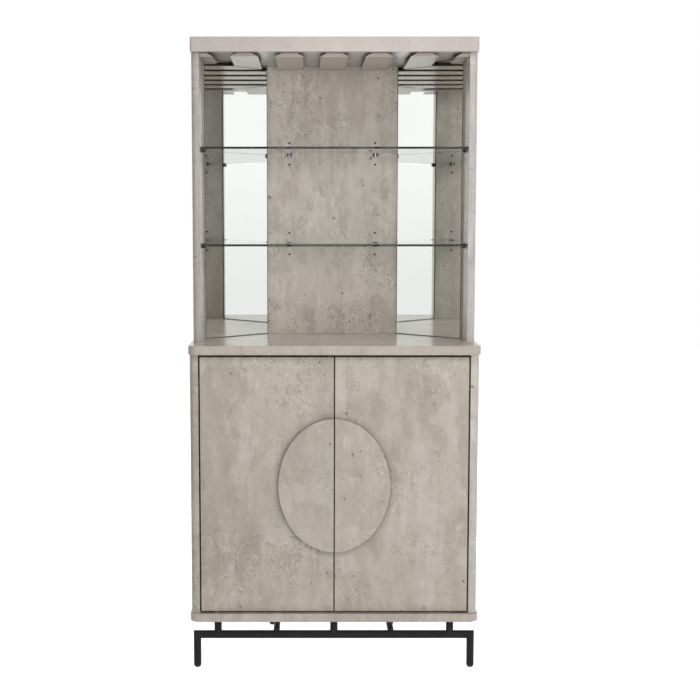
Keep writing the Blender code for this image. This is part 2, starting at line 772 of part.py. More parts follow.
def add_glass_shelves():
    outline = bay_outline(
        HUTCH_SETBACK + GLASS_FRONT_INSET,
        HUTCH.inner - GLASS_CLEARANCE,
        MIRROR_FRONT_SUM - GLASS_CLEARANCE * DIAGONAL,
        CENTRE_FRONT - GLASS_CLEARANCE,
    )
    for row, middle in zip(("lower", "upper"), glass_middles()):
        body = prism(outline, -GLASS_THICK / 2, GLASS_THICK / 2)
        shelf = add(f"{row}_glass_shelf", body, clear_glass(), (0, 0, middle))
        ease(shelf, GLASS_EDGE_RADIUS, 2)
        for side, hand in HANDS:
            at_side = (hand * HUTCH.inner, FRONT + HUTCH_SETBACK + HUTCH_HOLE_INSET, middle)
            at_back = (hand * CENTRE_HOLE_X, FRONT + CENTRE_FRONT, middle)
            add_clip(f"{row}_{side}_side_clip", at_side, (-hand, 0, 0))
            add_clip(f"{row}_{side}_back_clip", at_back, (0, -1, 0))


def rail_end(x):
    """The setback at which a stem rail ends: at the middle back, or cut at 45 degrees along a mirror."""
    at_mirror = MIRROR_FRONT_SUM - abs(x) - RAIL_END_GAP * DIAGONAL
    return min(CENTRE_FRONT - RAIL_END_GAP, at_mirror)


def add_stem_rail(name, x, wall=None):
    """An undercut rail, wider at its foot than at its neck. A wall cuts it to the half on the wall's inner side."""
    section = [
        (-RAIL_FOOT_WIDTH / 2, -RAIL_THICK),
        (RAIL_FOOT_WIDTH / 2, -RAIL_THICK),
        (RAIL_NECK_WIDTH / 2, 0),
        (-RAIL_NECK_WIDTH / 2, 0),
    ]
    if wall:
        section = [(-wall * GAP if along * wall > 0 else along, z) for along, z in section]
    bm = bmesh.new()
    face = bm.faces.new([bm.verts.new((along, 0, z)) for along, z in section])
    extruded = bmesh.ops.extrude_face_region(bm, geom=[face])["geom"]
    front = HUTCH_SETBACK + RAIL_FRONT_INSET
    for vert in [item for item in extruded if isinstance(item, bmesh.types.BMVert)]:
        vert.co.y = rail_end(x + vert.co.x) - front
    bmesh.ops.recalc_face_normals(bm, faces=bm.faces)
    rail = add(name, bm, concrete_laminate(), (x, FRONT + front, SLAB_LOW - GAP))
    ease(rail, RAIL_EDGE_RADIUS, 1)
    return rail


def add_stem_rack():
    pitch = 2 * HUTCH.inner / RAIL_BAYS
    for index in range(RAIL_BAYS + 1):
        wall = {0: -1, RAIL_BAYS: 1}.get(index)
        add_stem_rail(f"stem_rail_{index + 1}", -HUTCH.inner + index * pitch, wall)


def add_hutch():
    levels = glass_middles()
    for side, hand in HANDS:
        name = f"hutch_{side}_side"
        add_side(name, hand, HUTCH, HUTCH_SETBACK, BAR_HIGH, SLAB_LOW, HUTCH_HOLE_INSET, levels)
        add_diagonal_back(f"hutch_{side}_mirror_board", hand, HUTCH, BAR_HIGH, SLAB_LOW)
        add_mirror(f"hutch_{side}_mirror", hand)
    add_centre_back("hutch_centre_back", BAR_HIGH, SLAB_LOW, levels)
    add_slab("top_slab", SLAB_LOW, TOP_SLAB_THICK, SLAB_SETBACK, SLAB_SIDE_INSET)
    add_glass_shelves()
    add_stem_rack()


def main():
    clear_scene()
    add_base_frame()
    add_base_cabinet()
    add_doors()
    add_hutch()


main()
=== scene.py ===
import json
import math

import bmesh
import bpy
from mathutils import Matrix, Vector


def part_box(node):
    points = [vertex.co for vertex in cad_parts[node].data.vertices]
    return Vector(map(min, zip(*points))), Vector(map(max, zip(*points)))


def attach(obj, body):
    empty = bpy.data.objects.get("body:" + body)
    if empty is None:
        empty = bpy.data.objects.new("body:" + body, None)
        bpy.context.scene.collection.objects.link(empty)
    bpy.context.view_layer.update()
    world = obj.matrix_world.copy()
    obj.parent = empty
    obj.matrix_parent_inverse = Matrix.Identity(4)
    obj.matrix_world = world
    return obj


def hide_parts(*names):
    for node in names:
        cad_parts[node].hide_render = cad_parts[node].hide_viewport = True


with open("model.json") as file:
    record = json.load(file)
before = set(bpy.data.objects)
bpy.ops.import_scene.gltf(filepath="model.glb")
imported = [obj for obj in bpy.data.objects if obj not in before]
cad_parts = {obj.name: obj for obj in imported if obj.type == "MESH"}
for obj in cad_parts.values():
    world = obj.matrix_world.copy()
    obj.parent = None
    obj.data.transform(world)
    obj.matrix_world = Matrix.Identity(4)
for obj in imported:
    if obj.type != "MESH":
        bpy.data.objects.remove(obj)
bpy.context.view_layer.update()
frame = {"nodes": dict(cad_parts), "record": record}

NODES = frame["nodes"]
HANDS = {"left": -1, "right": 1}

# How near a point has to be to a face to count as on it, and the angles for smooth shading and for eased edges.
ON_FACE = 0.0005
SMOOTH_UNDER = math.radians(35)
EASE_OVER = math.radians(50)


# Node helpers

class Tree:
    """Short names for building the nodes of a material or of the world."""

    def __init__(self, owner, output):
        owner.use_nodes = True
        self.owner = owner
        self.nt = owner.node_tree
        self.nt.nodes.clear()
        self.out = self.nt.nodes.new(output)

    def node(self, kind, **values):
        made = self.nt.nodes.new(kind)
        for key, value in values.items():
            setattr(made, key, value)
        return made

    def link(self, a, b):
        self.nt.links.new(a, b)

    def put(self, socket, value):
        """Gives a socket a fixed value, or links another socket to it."""
        if isinstance(value, bpy.types.NodeSocket):
            self.link(value, socket)
        else:
            socket.default_value = value

    def fill(self, made, **inputs):
        """Puts values in a node's named inputs, with _ for the spaces in their names."""
        for key, value in inputs.items():
            self.put(made.inputs[key.replace("_", " ")], value)
        return made

    def math(self, op, a, b, c=0.0):
        made = self.node("ShaderNodeMath", operation=op)
        for socket, value in zip(made.inputs, (a, b, c)):
            self.put(socket, value)
        return made.outputs[0]

    def coords(self, offset=(0, 0, 0), rotate=(0, 0, 0), scale=(1, 1, 1)):
        """Object coordinates: scaled, then rotated, then moved."""
        place = self.node("ShaderNodeTexCoord").outputs["Object"]
        mapping = self.node("ShaderNodeMapping")
        return self.fill(mapping, Vector=place, Location=offset, Rotation=rotate, Scale=scale).outputs[0]

    def noise(self, vector, scale, detail, rough, distortion=0.0):
        made = self.node("ShaderNodeTexNoise")
        self.fill(made, Vector=vector, Scale=scale, Detail=detail, Roughness=rough, Distortion=distortion)
        return made.outputs["Fac"]

    def ramp(self, value, low, high, to_low=0.0, to_high=1.0, smooth=True):
        """Brings a value from the range low to high into another range, and holds it there."""
        made = self.node("ShaderNodeMapRange", interpolation_type="SMOOTHSTEP" if smooth else "LINEAR")
        self.fill(made, Value=value, From_Min=low, From_Max=high, To_Min=to_low, To_Max=to_high)
        return made.outputs[0]

    def mix(self, share, a, b):
        made = self.node("ShaderNodeMix", data_type="RGBA")
        for index, value in ((0, share), (6, a), (7, b)):
            self.put(made.inputs[index], value)
        return made.outputs[2]

    def tones(self, field, one, two, low=0.3, high=0.7):
        """A colour that goes from one tone to another as a field rises from low to high."""
        return self.mix(self.ramp(field, low, high), srgb(*one), srgb(*two))

    def dullness(self, field, least, most):
        """A roughness between two values, spread over most of a field's range."""
        return self.ramp(field, 0.2, 0.8, least, most)

    def bump(self, height, distance, strength):
        return self.fill(self.node("ShaderNodeBump"), Strength=strength, Distance=distance, Height=height).outputs[0]

    def principled(self, **inputs):
        shader = self.fill(self.node("ShaderNodeBsdfPrincipled"), **inputs)
        self.link(shader.outputs[0], self.out.inputs["Surface"])


def material(name):
    return Tree(bpy.data.materials.new(name), "ShaderNodeOutputMaterial")


def srgb(r, g, b):
    def lin(v):
        v /= 255
        return v / 12.92 if v <= 0.04045 else ((v + 0.055) / 1.055) ** 2.4
    return (lin(r), lin(g), lin(b), 1.0)


# The concrete-effect laminate

# The tones it goes through, and their places on the colour ramp.
GREIGE = (
    (0.0, (126, 116, 104)),
    (0.30, (158, 148, 137)),
    (0.50, (177, 167, 156)),
    (0.68, (192, 183, 174)),
    (1.0, (216, 209, 201)),
)
PIT_TONE = (92, 83, 74)
# The dark brown of the painted shade where boards meet.
PAINTED_SHADE_TONE = (70, 62, 54)

# The coordinates its noises read: how far the second set is moved, how far the set for the chips' shaded edges
# is, and how much two sets are drawn out along Z.
OTHER_SHIFT = 4.7
CHIP_SHIFT = 0.0015
TALL_SCALE = 0.42
STREAK_SCALE = 0.16

# Each noise is its coordinates, scale, detail, roughness and distortion. One with edges ends with the two levels
# between which it rises from 0 to 1. The tone layers start with their share in the tone, which starts at MIDDLE.
MIDDLE = 0.5
TONE_LAYERS = (
    (0.27, ("tall", 2.6, 5.0, 0.55, 0.2)),
    (0.20, ("even", 9.0, 6.0, 0.62, 0.2)),
    (0.42, ("streak", 36.0, 4.0, 0.56, 0.2)),
    (0.26, ("tall", 62.0, 4.0, 0.60, 0.2)),
    (0.20, ("other", 42.0, 5.0, 0.66, 0.2)),
    (0.18, ("even", 210.0, 3.0, 0.60, 0.0)),
    (0.09, ("tall", 4.6, 4.0, 0.60, 0.3, 0.47, 0.53)),
    (0.09, ("other", 8.0, 4.0, 0.64, 0.3, 0.54, 0.60)),
    (-0.08, ("even", 12.0, 4.0, 0.64, 0.3, 0.56, 0.62)),
)
ZONE = ("other", 4.8, 4.0, 0.62, 0.3, 0.47, 0.60)
CRUMBS = ("even", 120.0, 5.0, 0.76, 0.5, 0.55, 0.61)
DABS = ("tall", 34.0, 3.0, 0.58, 0.4, 0.63, 0.70)
CHIPS = (46.0, 4.0, 0.60, 0.5, 0.56, 0.59)
ROUGH_PITS = ("other", 150.0, 5.0, 0.72, 0.6, 0.582, 0.625)
PIT_OUTLINE = ("even", 300.0, 2.0, 0.5)
GRAIN = ("even", 240.0, 3.0, 0.6)
FINE_GRAIN = ("even", 700.0, 2.0, 0.5)
CRUMB_SHARE = 0.11
DAB_SHARE = 0.16
CHIP_SHARE = 0.42

# Pits: their strength, how many the zones and the rest of the board get, and the lone round ones, of which only
# the cells above LONE_CHANCE have one.
PIT_STRENGTH = 0.72
PIT_MORE_IN_ZONE = 0.80
PIT_ANYWHERE = 0.12
LONE_SCALE = 46.0
LONE_REACH = 0.42
LONE_EDGE = 0.03
LONE_CHANCE = 0.84

# Relief: the bump of the grain, the share of the finer grain and the depth of the pits in it. Roughness: the
# share of the grain, the range of tones that it is spread over, and its least and most on different boards.
RELIEF_DISTANCE = 0.00001
RELIEF_STRENGTH = 0.15
RELIEF_FINE = 0.35
RELIEF_PIT = 1.6
SHEEN_GRAIN = 0.5
SHEEN_RANGE = (0.3, 1.1)
SHEEN = (0.20, 0.32)
SHEEN_EVEN = (0.24, 0.28)
SHEEN_SLAB = (0.24, 0.27)
SHEEN_BAR = (0.20, 0.24)

# Painted shade where boards meet, which darkens their colour: how far it reaches, the openness at which it is full,
# and the rays that look for it.
PAINTED_SHADE_REACH = 0.025
PAINTED_SHADE_FULL = 0.4
PAINTED_SHADE_RAYS = 8


def laminate_noises(t, seed, turn):
    """Gives the function that builds one noise of the laminate from its row of values."""
    places = {
        "even": t.coords(seed, turn),
        "nudged": t.coords([c + CHIP_SHIFT for c in seed], turn),
        "other": t.coords([c + OTHER_SHIFT for c in seed], turn),
        "tall": t.coords(seed, turn, (1.0, 1.0, TALL_SCALE)),
        "streak": t.coords(seed, turn, (1.0, 1.0, STREAK_SCALE)),
    }

    def noise(place, scale, detail, rough, distortion=0.0, *edges):
        value = t.noise(places[place], scale, detail, rough, distortion)
        return t.ramp(value, *edges) if edges else value

    return noise, places["other"]


def laminate_tone(t, noise, zone, cloud, chipped):
    """The place on the colour ramp: trowelled patches, faint drips, pale crumbs and dabs, and chipped edges."""
    tone = MIDDLE
    for share, layer in TONE_LAYERS:
        tone = t.math("MULTIPLY_ADD", t.math("SUBTRACT", noise(*layer), MIDDLE), share * cloud, tone)
    chips = t.math("SUBTRACT", noise("even", *CHIPS), noise("nudged", *CHIPS))
    for share, value in (
        (CRUMB_SHARE * cloud, t.math("MULTIPLY", zone, noise(*CRUMBS))),
        (DAB_SHARE * cloud, noise(*DABS)),
        (CHIP_SHARE * chipped, t.math("MULTIPLY", chips, zone)),
    ):
        tone = t.math("MULTIPLY_ADD", value, share, tone)
    return tone


def laminate_pits(t, noise, zone, place):
    """Where the dark pits are: rough clusters of them in the zones, and a few lone round ones."""
    rough_pits = t.math("MULTIPLY", noise(*ROUGH_PITS), t.math("MULTIPLY_ADD", zone, PIT_MORE_IN_ZONE, PIT_ANYWHERE))
    cell = t.fill(t.node("ShaderNodeTexVoronoi"), Vector=place, Scale=LONE_SCALE)
    chance = t.fill(t.node("ShaderNodeSeparateColor"), Color=cell.outputs["Color"])
    reach = t.math("MULTIPLY", chance.outputs[1], t.math("MULTIPLY", noise(*PIT_OUTLINE), LONE_REACH))
    near = t.ramp(t.math("SUBTRACT", cell.outputs["Distance"], reach), -LONE_EDGE, LONE_EDGE, 1.0, 0.0)
    lone = t.math("MULTIPLY", near, t.math("GREATER_THAN", chance.outputs[0], LONE_CHANCE))
    return t.math("MAXIMUM", rough_pits, lone)


def laminate_colour(t, tone, tint_and_painted_light):
    """The colour ramp, with its tones multiplied by one board's tint. On the side panels this tint also holds painted
    light and shade: the left ones darker, the right ones lighter, as if lit from the right.
    """
    made = t.node("ShaderNodeValToRGB")
    elements = made.color_ramp.elements
    while len(elements) < len(GREIGE):
        elements.new(MIDDLE)
    for element, (place, greige) in zip(elements, GREIGE):
        element.position = place
        element.color = srgb(*(min(255, channel * share) for channel, share in zip(greige, tint_and_painted_light)))
    t.link(tone, made.inputs[0])
    return made.outputs[0]


def concrete(name, seed, tint_and_painted_light=(1, 1, 1), turn=(0, 0, 0), cloud=1.0, pits=1.0, chipped=1.0, sheen=SHEEN, painted_shade=0.0):
    """The laminate of one board. Its seed picks a part of the pattern, and the rest how strong each feature is."""
    t = material(name)
    noise, other = laminate_noises(t, seed, turn)
    zone = noise(*ZONE)
    tone = laminate_tone(t, noise, zone, cloud, chipped)
    pit = laminate_pits(t, noise, zone, other)
    colour = laminate_colour(t, tone, tint_and_painted_light)
    colour = t.mix(t.math("MULTIPLY", pit, PIT_STRENGTH * pits), colour, srgb(*PIT_TONE))
    # Painted shade: the colour darkens towards a dark brown where other surfaces are near, found by an ambient
    # occlusion test.
    if painted_shade:
        open_sky = t.fill(t.node("ShaderNodeAmbientOcclusion", samples=PAINTED_SHADE_RAYS), Distance=PAINTED_SHADE_REACH)
        shade_share = t.ramp(open_sky.outputs["AO"], PAINTED_SHADE_FULL, 1.0, painted_shade, 0.0, smooth=False)
        colour = t.mix(shade_share, colour, srgb(*PAINTED_SHADE_TONE))
    grain = noise(*GRAIN)
    height = t.math("MULTIPLY_ADD", noise(*FINE_GRAIN), RELIEF_FINE, grain)
    height = t.math("SUBTRACT", height, t.math("MULTIPLY", pit, RELIEF_PIT))
    dull = t.ramp(t.math("MULTIPLY_ADD", grain, SHEEN_GRAIN, tone), *SHEEN_RANGE, *sheen)
    t.principled(Base_Color=colour, Roughness=dull, Normal=t.bump(height, RELIEF_DISTANCE, RELIEF_STRENGTH),
                 Specular_IOR_Level=0.5)
    return t.owner


# The other materials

def plain_board():
    """Smooth melamine backs: one even tone with a faint fleck."""
    t = material("board_plain")
    v = t.coords()
    fleck = t.noise(v, scale=240.0, detail=3.0, rough=0.6)
    slow = t.noise(v, scale=4.0, detail=3.0, rough=0.5)
    colour = t.tones(slow, (168, 158, 149), (178, 169, 160))
    colour = t.mix(t.ramp(fleck, 0.35, 0.75, 0.22, 0.0), colour, srgb(150, 141, 132))
    t.principled(Base_Color=colour, Roughness=t.dullness(fleck, 0.50, 0.62),
                 Normal=t.bump(fleck, distance=0.0001, strength=0.4))
    return t.owner


def black_steel():
    """Black powder coat with its fine orange peel and faint dust."""
    t = material("steel_black")
    v = t.coords()
    peel = t.noise(v, scale=900.0, detail=2.0, rough=0.5)
    waves = t.noise(v, scale=260.0, detail=3.0, rough=0.55)
    dust = t.noise(v, scale=30.0, detail=4.0, rough=0.6)
    colour = t.tones(dust, (40, 39, 39), (47, 46, 46), low=0.35, high=0.75)
    height = t.math("ADD", t.math("MULTIPLY", peel, 0.5), waves)
    t.principled(Base_Color=colour, Roughness=t.ramp(dust, 0.3, 0.8, 0.42, 0.58),
                 Normal=t.bump(height, distance=0.0001, strength=0.5), IOR=1.15, Specular_IOR_Level=0.5)
    return t.owner


def bright_steel():
    """Nickel plate with fine brushing and slight tarnish."""
    t = material("steel_bright")
    brush = t.noise(t.coords(scale=(1, 1, 12)), scale=420.0, detail=3.0, rough=0.6)
    slow = t.noise(t.coords(), scale=120.0, detail=3.0, rough=0.5)
    t.principled(Base_Color=t.tones(slow, (186, 185, 181), (208, 207, 204)), Metallic=1.0,
                 Roughness=t.dullness(brush, 0.20, 0.36), Normal=t.bump(brush, distance=0.00005, strength=0.4))
    return t.owner


def black_nylon():
    """Moulded nylon with a fine spark-eroded texture."""
    t = material("nylon_black")
    v = t.coords()
    spark = t.noise(v, scale=1100.0, detail=3.0, rough=0.6)
    slow = t.noise(v, scale=60.0, detail=3.0, rough=0.5)
    t.principled(Base_Color=t.tones(slow, (34, 34, 34), (46, 46, 45)), Roughness=t.dullness(spark, 0.48, 0.66),
                 Normal=t.bump(spark, distance=0.00008, strength=0.5))
    return t.owner


def clear_glass():
    """Clear float glass: near colourless through its faces, sea green through its depth."""
    t = material("glass_clear")
    smear = t.noise(t.coords(), scale=14.0, detail=4.0, rough=0.6, distortion=0.5)
    t.principled(Base_Color=srgb(252, 255, 254), Roughness=t.ramp(smear, 0.45, 0.85, 0.0, 0.03), IOR=1.50,
                 Transmission_Weight=1.0)
    depth = t.fill(t.node("ShaderNodeVolumeAbsorption"), Color=(0.40, 0.58, 0.50, 1), Density=9.0)
    t.link(depth.outputs[0], t.out.inputs["Volume"])
    return t.owner


def silvered_glass():
    """Mirror glass: a faint green in its reflection and the haze of handling."""
    t = material("glass_silvered")
    haze = t.noise(t.coords(), scale=9.0, detail=5.0, rough=0.62, distortion=0.6)
    colour = t.mix(t.ramp(haze, 0.3, 0.75), (0.92, 0.95, 0.905, 1), (0.91, 0.94, 0.895, 1))
    t.principled(Base_Color=colour, Metallic=1.0, Roughness=t.ramp(haze, 0.55, 0.9, 0.0, 0.02))
    return t.owner


def dark_steel():
    """Black nickel plate, as on the shelf clips."""
    t = material("steel_dark")
    v = t.coords()
    cloudy = t.noise(v, scale=150.0, detail=3.0, rough=0.6)
    fine = t.noise(v, scale=900.0, detail=2.0, rough=0.5)
    t.principled(Base_Color=t.tones(cloudy, (58, 58, 55), (76, 76, 72)), Metallic=0.9,
                 Roughness=t.dullness(cloudy, 0.30, 0.42), Normal=t.bump(fine, distance=0.00004, strength=0.4))
    return t.owner


def mirror_rim():
    """The ground and painted rim of a mirror, a dark grey green."""
    t = material("rim_mirror")
    ground = t.noise(t.coords(), scale=500.0, detail=3.0, rough=0.6)
    t.principled(Base_Color=t.tones(ground, (66, 70, 62), (92, 96, 86)), Roughness=t.dullness(ground, 0.35, 0.55),
                 Normal=t.bump(ground, distance=0.00004, strength=0.4))
    return t.owner


def shaded_raw_board():
    """The drilled inside of a board: raw chipboard, darkened to near black as painted shade for the depth of the
    bore.
    """
    t = material("board_raw_painted_shade")
    chips = t.noise(t.coords(), scale=600.0, detail=4.0, rough=0.7, distortion=0.8)
    t.principled(Base_Color=t.tones(chips, (20, 16, 12), (36, 30, 24)), Roughness=t.dullness(chips, 0.8, 0.95),
                 Normal=t.bump(chips, distance=0.0002, strength=0.6))
    return t.owner


# What each solid is made of

# Quarter turns of the pattern's noise, which show another part of it on the level boards and on the rails.
TURN_Y = (0, math.pi / 2, 0)
TURN_X = (math.pi / 2, 0, 0)
# The doors, the top slab and the rails below it get painted shade where other surfaces come near, as round the half
# ovals and where the rails meet the slab.
PANELS = {
    "left_door": concrete("laminate_left_door", (3.1, 0.4, 1.7), (0.97, 0.97, 0.965),
                          cloud=0.92, chipped=0.55, painted_shade=0.6),
    "right_door": concrete("laminate_right_door", (7.7, 1.9, 4.2), (0.965, 0.965, 0.96),
                           cloud=0.92, chipped=0.55, painted_shade=0.6),
    "left_door_half_oval": concrete("laminate_left_oval", (5.2, 3.3, 0.6), (0.965, 0.965, 0.965),
                                    cloud=0.8, chipped=0.7),
    "right_door_half_oval": concrete("laminate_right_oval", (1.4, 6.1, 2.5), cloud=0.8, chipped=0.7),
    "top_slab": concrete("laminate_top_slab", (2.4, 5.3, 8.8), (1.02, 1.03, 1.065), TURN_Y,
                         cloud=0.26, pits=0.25, chipped=0.1, sheen=SHEEN_SLAB, painted_shade=0.5),
    "bar_top": concrete("laminate_bar_top", (6.6, 0.7, 3.9), (0.985, 0.99, 0.995), TURN_Y,
                        cloud=0.5, pits=0.4, chipped=0.0, sheen=SHEEN_BAR),
    "bottom_panel": concrete("laminate_bottom", (4.5, 2.2, 9.1), (0.99, 0.995, 1.005), TURN_Y,
                             cloud=0.65, pits=0.6, chipped=0.3),
    "hutch_centre_back": concrete("laminate_hutch_back", (0.9, 7.4, 5.5), chipped=0.75),
    # The side panels share two patterns, the left ones darker and the right ones lighter and bluer: painted light and
    # shade, as if lit from the right.
    "hutch_left_side": concrete("laminate_hutch_left", (8.1, 4.6, 2.2), (0.935, 0.95, 0.965),
                                cloud=0.7, chipped=0.2, sheen=SHEEN_EVEN),
    "hutch_right_side": concrete("laminate_hutch_right", (3.9, 8.2, 6.4), (1.01, 1.035, 1.065),
                                 cloud=0.7, chipped=0.2, sheen=SHEEN_EVEN),
    "base_left_side": concrete("laminate_base_left", (8.1, 4.6, 2.2), (0.945, 0.945, 0.945),
                               cloud=0.9, chipped=0.5),
    "base_right_side": concrete("laminate_base_right", (3.9, 8.2, 6.4), (1.07, 1.095, 1.125),
                                cloud=0.9, chipped=0.5),
}
RAILS = concrete("laminate_rails", (1.1, 1.3, 7.1), (0.99, 0.975, 0.99), TURN_X,
                 cloud=0.12, pits=0.2, chipped=0.0, sheen=SHEEN_SLAB, painted_shade=0.5)
SLOT_LOOKS = {
    "concrete_laminate": concrete("laminate_inside", (5.8, 2.9, 1.2), cloud=0.6, chipped=0.5),
    "plain_board": plain_board(),
    "black_steel": black_steel(),
    "bright_steel": bright_steel(),
    "black_nylon": black_nylon(),
    "clear_glass": clear_glass(),
    "silvered_glass": silvered_glass(),
}
DARK_STEEL = dark_steel()
MIRROR_RIM = mirror_rim()
SHADED_RAW_BOARD = shaded_raw_board()


def dress_nodes():
    """Gives every solid its material: its own, or else that of its slot."""
    slots = {row["node"]: row["material_slot"] for row in frame["record"]["subparts"]}
    for name, obj in NODES.items():
        if name.endswith("_pivot_plate"):
            look = DARK_STEEL
        elif name.startswith("stem_rail"):
            look = RAILS
        else:
            look = PANELS.get(name) or SLOT_LOOKS[slots[name]]
        obj.data.materials.clear()
        obj.data.materials.append(look)


# Shapes and placing

def mesh_of(name, bm):
    """The mesh of a finished bmesh."""
    mesh = bpy.data.meshes.new(name)
    bm.to_mesh(mesh)
    bm.free()
    return mesh


def smoothed(mesh):
    mesh.shade_smooth()
    mesh.set_sharp_from_angle(angle=SMOOTH_UNDER)
    return mesh


def link_object(name, data, place=Matrix()):
    obj = bpy.data.objects.new(name, data)
    bpy.context.scene.collection.objects.link(obj)
    obj.matrix_world = place
    return obj


def add_piece(name, mesh, place=Matrix(), body="carcass"):
    """Links a finished mesh as a piece that moves with a body."""
    obj = link_object(name, mesh, place)
    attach(obj, body)
    return obj


def middle(name):
    """The middle of a solid's box."""
    return [(low + high) / 2 for low, high in zip(*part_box(name))]


def frame_at(origin, normal):
    """A matrix whose Z runs along the normal at the origin."""
    turn = Vector(normal).to_track_quat("Z", "Y").to_matrix().to_4x4()
    return Matrix.Translation(Vector(origin)) @ turn


def lathe(profile, segments):
    """A closed turned form about Z from (radius, height) pairs."""
    bm = bmesh.new()
    rings = []
    for radius, height in profile:
        if radius <= 0:
            rings.append([bm.verts.new((0, 0, height))])
            continue
        rings.append([
            bm.verts.new((radius * math.cos(a), radius * math.sin(a), height))
            for a in (2 * math.pi * k / segments for k in range(segments))
        ])
    for low, high in zip(rings, rings[1:]):
        for k in range(segments):
            n = (k + 1) % segments
            face = [low[k % len(low)], low[n % len(low)], high[n % len(high)], high[k % len(high)]]
            unique = [vert for i, vert in enumerate(face) if vert not in face[:i]]
            if len(unique) > 2:
                bm.faces.new(unique)
    bmesh.ops.recalc_face_normals(bm, faces=bm.faces)
    return bm


def join_rings(bm, one, two):
    """The faces between two rings of as many points."""
    count = len(one)
    for k in range(count):
        n = (k + 1) % count
        bm.faces.new((one[k], one[n], two[n], two[k]))


def prism(outline, low, high):
    """A flat outline in X and Y raised from one level to another."""
    bm = bmesh.new()
    rings = [[bm.verts.new((x, y, z)) for x, y in outline] for z in (low, high)]
    bm.faces.new(rings[0])
    bm.faces.new(rings[1])
    join_rings(bm, *rings)
    bmesh.ops.recalc_face_normals(bm, faces=bm.faces)
    return bm


ROUND_STEPS = 6


def rounded(corners):
    """Outline points for corners given as (x, y, radius)."""
    points = []
    for k, (x, y, radius) in enumerate(corners):
        corner = Vector((x, y))
        if not radius:
            points.append(corner)
            continue
        before = (Vector(corners[k - 1][:2]) - corner).normalized()
        after = (Vector(corners[(k + 1) % len(corners)][:2]) - corner).normalized()
        half = before.angle(after) / 2
        centre = corner + (before + after).normalized() * (radius / math.sin(half))
        start = corner + before * (radius / math.tan(half)) - centre
        sweep = math.copysign(math.pi - 2 * half, -before.cross(after))
        for step in range(ROUND_STEPS + 1):
            points.append(centre + Matrix.Rotation(sweep * step / ROUND_STEPS, 2) @ start)
    return points


def combined(name, base, steps, look, bevel=None):
    """One finished mesh from a base shape and (operation, shape) steps, its edges eased at the end."""
    holder = link_object(name, mesh_of(name, base))
    helpers = []
    for operation, shape in steps:
        helper = link_object(f"{name}_shape", mesh_of(name, shape))
        helpers.append(helper)
        modifier = holder.modifiers.new(operation.lower(), "BOOLEAN")
        modifier.operation = operation
        modifier.object = helper
        modifier.solver = "EXACT"
    if bevel:
        modifier = holder.modifiers.new("eased", "BEVEL")
        modifier.width, modifier.segments = bevel
        modifier.limit_method = "ANGLE"
        modifier.angle_limit = EASE_OVER
    made = bpy.data.meshes.new_from_object(holder.evaluated_get(bpy.context.evaluated_depsgraph_get()))
    for obj in helpers + [holder]:
        bpy.data.objects.remove(obj)
    made.name = name
    made.materials.clear()
    made.materials.append(look)
    return smoothed(made)


# The stand

LINK_EXTRA = 0.0008
STAND_SIDES = 32
STAND_LEG_RADIUS = 0.0105
STAND_RAIL_HALF = 0.0112
STAND_RAIL_DROP = 0.0017
STAND_SPACER_RADIUS = 0.0103
STAND_SPACER_INSET = 0.058
STAND_BORE_RADIUS = 0.0081
STAND_BORE_DEPTH = 0.0164
STAND_BORE_START = 0.001


def thicken_links():
    """Brings the two link rails of the stand to the thickness they show in the photograph."""
    for side in HANDS:
        modifier = NODES[f"{side}_link_rail"].modifiers.new("thickened", "DISPLACE")
        modifier.strength = LINK_EXTRA
        modifier.mid_level = 0.0


def rod(radius, x, y, low, high):
    """A round upright bar."""
    bm = lathe([(0, low), (radius, low), (radius, high), (0, high)], STAND_SIDES)
    bm.transform(Matrix.Translation((x, y, 0)))
    return bm


def mitred_tube(half, y, foot, level):
    """The front leg frame's tube: up from one foot, mitred along the rail, mitred again and down to the other."""
    turns = [2 * math.pi * k / STAND_SIDES for k in range(STAND_SIDES)]
    bm = bmesh.new()
    rings = []
    for hand, z, lift in ((-1, foot, 0), (-1, level, STAND_RAIL_HALF), (1, level, STAND_RAIL_HALF), (1, foot, 0)):
        rings.append([
            bm.verts.new((hand * (half - STAND_LEG_RADIUS * math.cos(a)), y + STAND_LEG_RADIUS * math.sin(a),
                          z - lift * math.cos(a)))
            for a in turns
        ])
    for one, two in zip(rings, rings[1:]):
        join_rings(bm, one, two)
    bm.faces.new(rings[0])
    bm.faces.new(rings[-1])
    bmesh.ops.recalc_face_normals(bm, faces=bm.faces)
    return bm


def add_front_stand():
    """The front leg frame at the thickness it shows in the photograph: one mitred tube, bored ends, three spacers."""
    low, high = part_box("front_leg_frame")
    half = high.x - (high.y - low.y) / 2
    y = middle("front_leg_frame")[1]
    level = middle("left_link_rail")[2] - STAND_RAIL_DROP
    outer = half - STAND_SPACER_INSET
    bore = (low.z - STAND_BORE_START, low.z + STAND_BORE_DEPTH)
    steps = [("UNION", rod(STAND_SPACER_RADIUS, x, y, level, high.z)) for x in (-outer, 0, outer)]
    steps += [("DIFFERENCE", rod(STAND_BORE_RADIUS, x, y, *bore)) for x in (-half, half)]
    tube = mitred_tube(half, y, low.z, level)
    mesh = combined("front_leg_frame_dressed", tube, steps, SLOT_LOOKS["black_steel"])
    stand = add_piece("front_leg_frame_dressed", mesh)
    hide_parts("front_leg_frame")


# The mirrors' rims

RIM_WIDTH = 0.0020
RIM_PROUD = 0.0004
RIM_EASE = 0.0002
RIM_SEAT = 0.00005


def mirror_face(name, hand):
    """A mirror's silvered front, found from its mesh: lower outer and inner corner, height and normal."""
    low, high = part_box(name)
    points = [v.co for v in NODES[name].data.vertices]
    normal = Vector((-hand, -1, 0)).normalized()
    front = max(p.dot(normal) for p in points)
    on = [p for p in points if p.dot(normal) > front - ON_FACE]
    outer = max(on, key=lambda p: hand * p.x)
    inner = min(on, key=lambda p: hand * p.x)
    return Vector((outer.x, outer.y, low.z)), Vector((inner.x, inner.y, low.z)), high.z - low.z, normal


